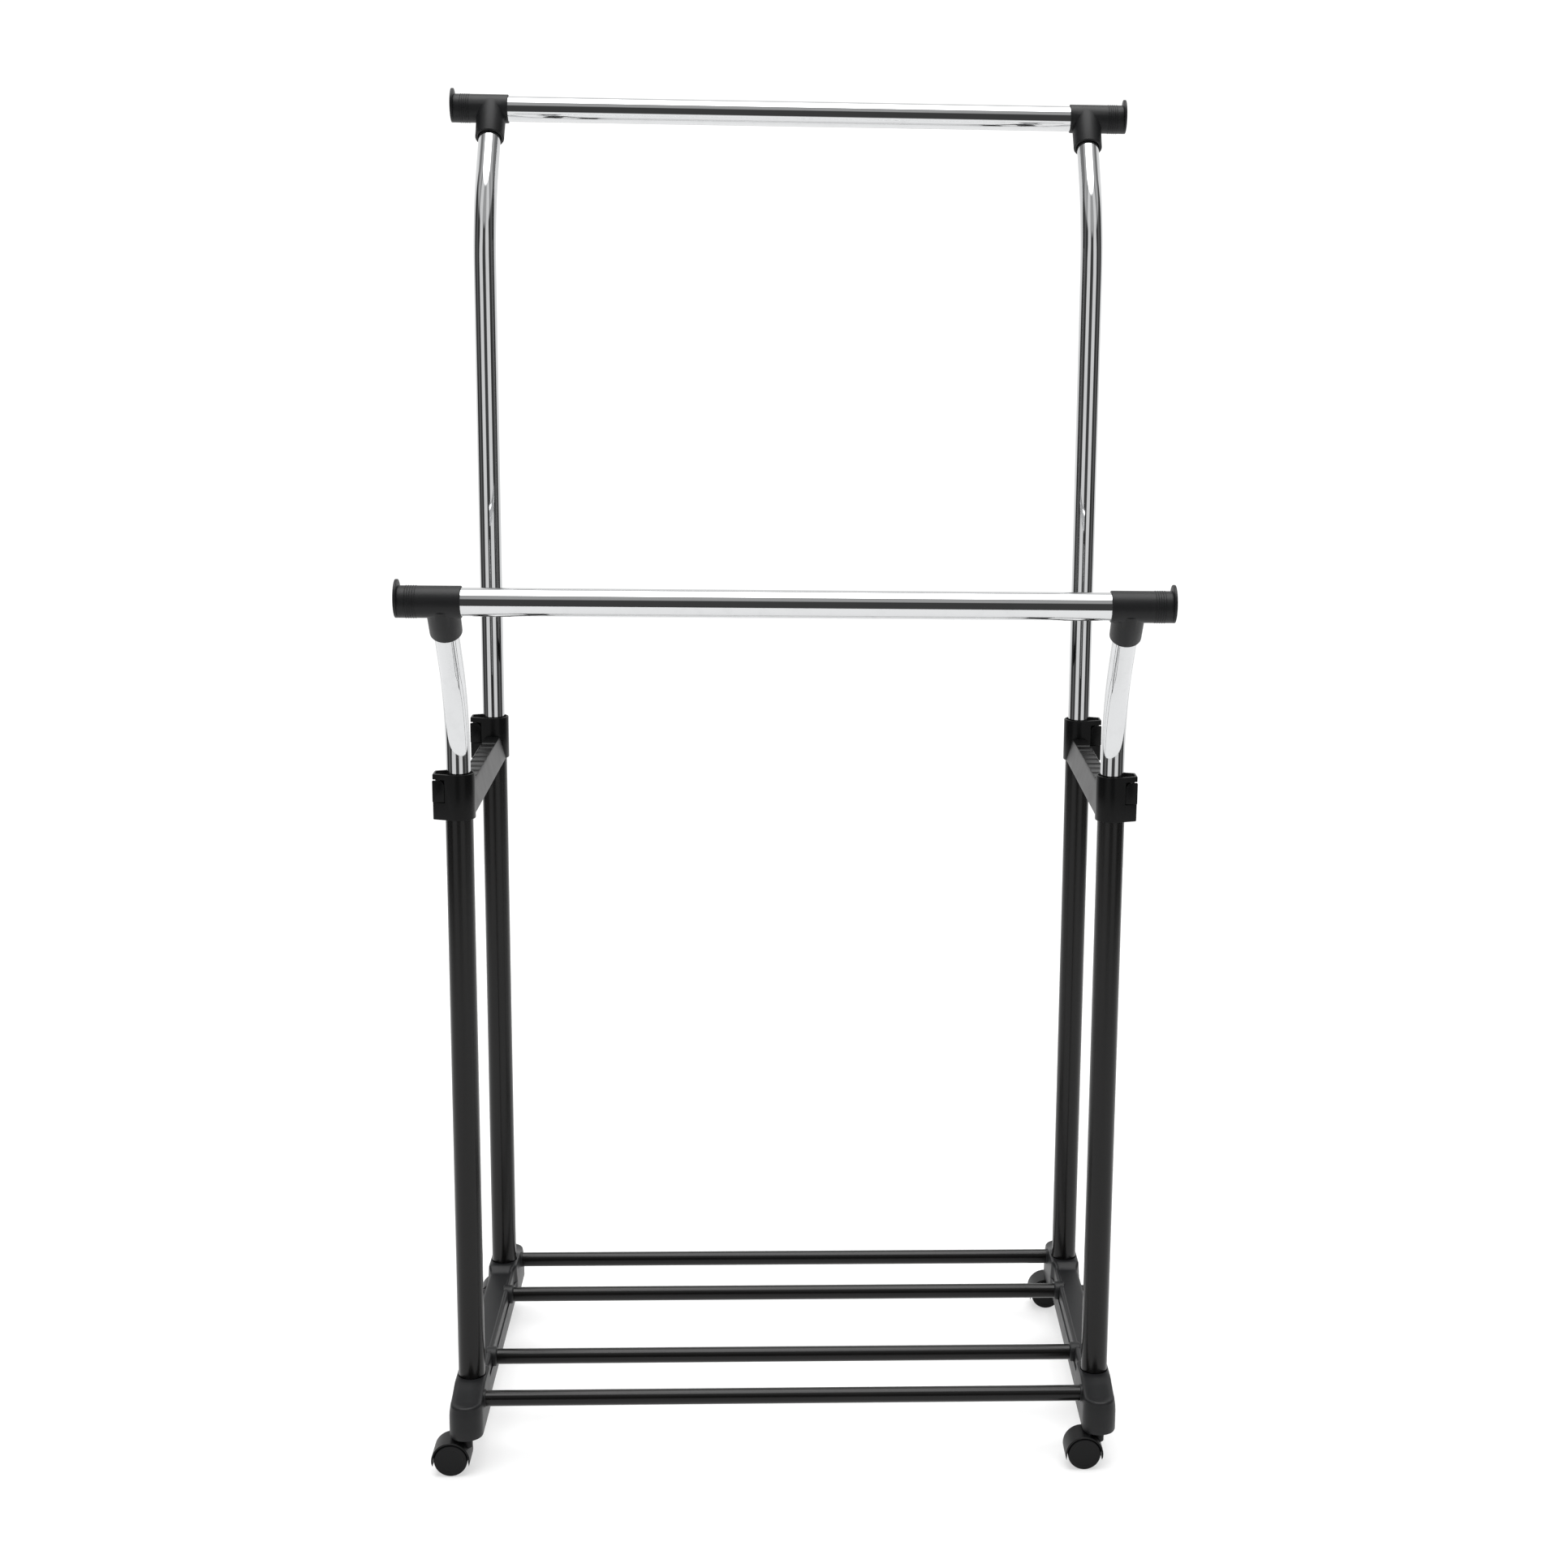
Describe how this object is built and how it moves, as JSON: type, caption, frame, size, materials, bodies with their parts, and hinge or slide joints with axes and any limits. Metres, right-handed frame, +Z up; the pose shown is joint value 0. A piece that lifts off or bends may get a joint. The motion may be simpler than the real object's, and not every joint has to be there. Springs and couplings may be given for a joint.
{
  "type": "rolling clothes rack",
  "caption": "Double-rail rolling clothes rack: bent chrome frames telescope out of black tubes held by clamp brackets, over a rod shelf on casters.",
  "frame": {"origin": "on the floor under the middle of the rack, midway between the legs", "axes": "+Z up, +X along the hanging rails to the right-hand end, -Y the front, where the low rail is"},
  "size_m": [0.866, 0.595, 1.645],
  "materials": {
    "charcoal_plastic": "fine-textured moulded charcoal",
    "black_plastic": "satin black moulding",
    "black_coated_steel": "satin black powder coat",
    "chrome_tube": "bright chrome plate",
    "bright_steel": "plain bright steel",
    "caster_plastic": "satin dark grey moulding"
  },
  "bodies": {
    "stand": {"shelf_rod_1": "black_coated_steel", "shelf_rod_2": "black_coated_steel", "shelf_rod_3": "black_coated_steel", "shelf_rod_4": "black_coated_steel", "base_rail_left": "charcoal_plastic", "bracket_left": "black_plastic", "base_rail_right": "charcoal_plastic", "bracket_right": "black_plastic", "lower_tube_front_left": "black_coated_steel", "lock_pin_front_left": "bright_steel", "caster_stem_front_left": "bright_steel", "lower_tube_front_right": "black_coated_steel", "lock_pin_front_right": "bright_steel", "caster_stem_front_right": "bright_steel", "lower_tube_back_left": "black_coated_steel", "lock_pin_back_left": "bright_steel", "caster_stem_back_left": "bright_steel", "lower_tube_back_right": "black_coated_steel", "lock_pin_back_right": "bright_steel", "caster_stem_back_right": "bright_steel"},
    "front_frame": {"hanging_rail_front": "chrome_tube", "upright_front_left": "chrome_tube", "tee_front_left": "charcoal_plastic", "guide_bush_front_left": "black_plastic", "upright_front_right": "chrome_tube", "tee_front_right": "charcoal_plastic", "guide_bush_front_right": "black_plastic"},
    "back_frame": {"hanging_rail_back": "chrome_tube", "upright_back_left": "chrome_tube", "tee_back_left": "charcoal_plastic", "guide_bush_back_left": "black_plastic", "upright_back_right": "chrome_tube", "tee_back_right": "charcoal_plastic", "guide_bush_back_right": "black_plastic"},
    "lever_front_left": {"lock_lever_front_left": "black_plastic"},
    "caster_front_left": {"caster_hood_front_left": "caster_plastic"},
    "wheels_front_left": {"caster_axle_front_left": "bright_steel", "caster_wheel_a_front_left": "caster_plastic", "caster_wheel_b_front_left": "caster_plastic"},
    "lever_front_right": {"lock_lever_front_right": "black_plastic"},
    "caster_front_right": {"caster_hood_front_right": "caster_plastic"},
    "wheels_front_right": {"caster_axle_front_right": "bright_steel", "caster_wheel_a_front_right": "caster_plastic", "caster_wheel_b_front_right": "caster_plastic"},
    "lever_back_left": {"lock_lever_back_left": "black_plastic"},
    "caster_back_left": {"caster_hood_back_left": "caster_plastic"},
    "wheels_back_left": {"caster_axle_back_left": "bright_steel", "caster_wheel_a_back_left": "caster_plastic", "caster_wheel_b_back_left": "caster_plastic"},
    "lever_back_right": {"lock_lever_back_right": "black_plastic"},
    "caster_back_right": {"caster_hood_back_right": "caster_plastic"},
    "wheels_back_right": {"caster_axle_back_right": "bright_steel", "caster_wheel_a_back_right": "caster_plastic", "caster_wheel_b_back_right": "caster_plastic"}
  },
  "joints": [
    {"name": "front_rail_height", "type": "slide", "parent": "stand", "child": "front_frame", "axis": [0, 0, 1], "range_m": [0, 0.556]},
    {"name": "back_rail_height", "type": "slide", "parent": "stand", "child": "back_frame", "axis": [0, 0, 1], "range_m": [-0.556, 0]},
    {"name": "lever_flip_front_left", "type": "hinge", "parent": "stand", "child": "lever_front_left", "pos_m": [-0.4045, -0.173, 0.835], "axis": [0, 1, 0], "range_deg": [0, 80]},
    {"name": "caster_swivel_front_left", "type": "hinge", "parent": "stand", "child": "caster_front_left", "pos_m": [-0.382, -0.231, 0.04], "axis": [0, 0, 1], "continuous": true},
    {"name": "wheel_roll_front_left", "type": "hinge", "parent": "caster_front_left", "child": "wheels_front_left", "pos_m": [-0.4, -0.231, 0.02], "axis": [0, 1, 0], "continuous": true},
    {"name": "lever_flip_front_right", "type": "hinge", "parent": "stand", "child": "lever_front_right", "pos_m": [0.4045, -0.173, 0.835], "axis": [0, -1, 0], "range_deg": [0, 80]},
    {"name": "caster_swivel_front_right", "type": "hinge", "parent": "stand", "child": "caster_front_right", "pos_m": [0.382, -0.231, 0.04], "axis": [0, 0, 1], "continuous": true},
    {"name": "wheel_roll_front_right", "type": "hinge", "parent": "caster_front_right", "child": "wheels_front_right", "pos_m": [0.364, -0.231, 0.02], "axis": [0, 1, 0], "continuous": true},
    {"name": "lever_flip_back_left", "type": "hinge", "parent": "stand", "child": "lever_back_left", "pos_m": [-0.4045, 0.173, 0.835], "axis": [0, 1, 0], "range_deg": [0, 80]},
    {"name": "caster_swivel_back_left", "type": "hinge", "parent": "stand", "child": "caster_back_left", "pos_m": [-0.382, 0.231, 0.04], "axis": [0, 0, 1], "continuous": true},
    {"name": "wheel_roll_back_left", "type": "hinge", "parent": "caster_back_left", "child": "wheels_back_left", "pos_m": [-0.4, 0.231, 0.02], "axis": [0, 1, 0], "continuous": true},
    {"name": "lever_flip_back_right", "type": "hinge", "parent": "stand", "child": "lever_back_right", "pos_m": [0.4045, 0.173, 0.835], "axis": [0, -1, 0], "range_deg": [0, 80]},
    {"name": "caster_swivel_back_right", "type": "hinge", "parent": "stand", "child": "caster_back_right", "pos_m": [0.382, 0.231, 0.04], "axis": [0, 0, 1], "continuous": true},
    {"name": "wheel_roll_back_right", "type": "hinge", "parent": "caster_back_right", "child": "wheels_back_right", "pos_m": [0.364, 0.231, 0.02], "axis": [0, 1, 0], "continuous": true}
  ]
}
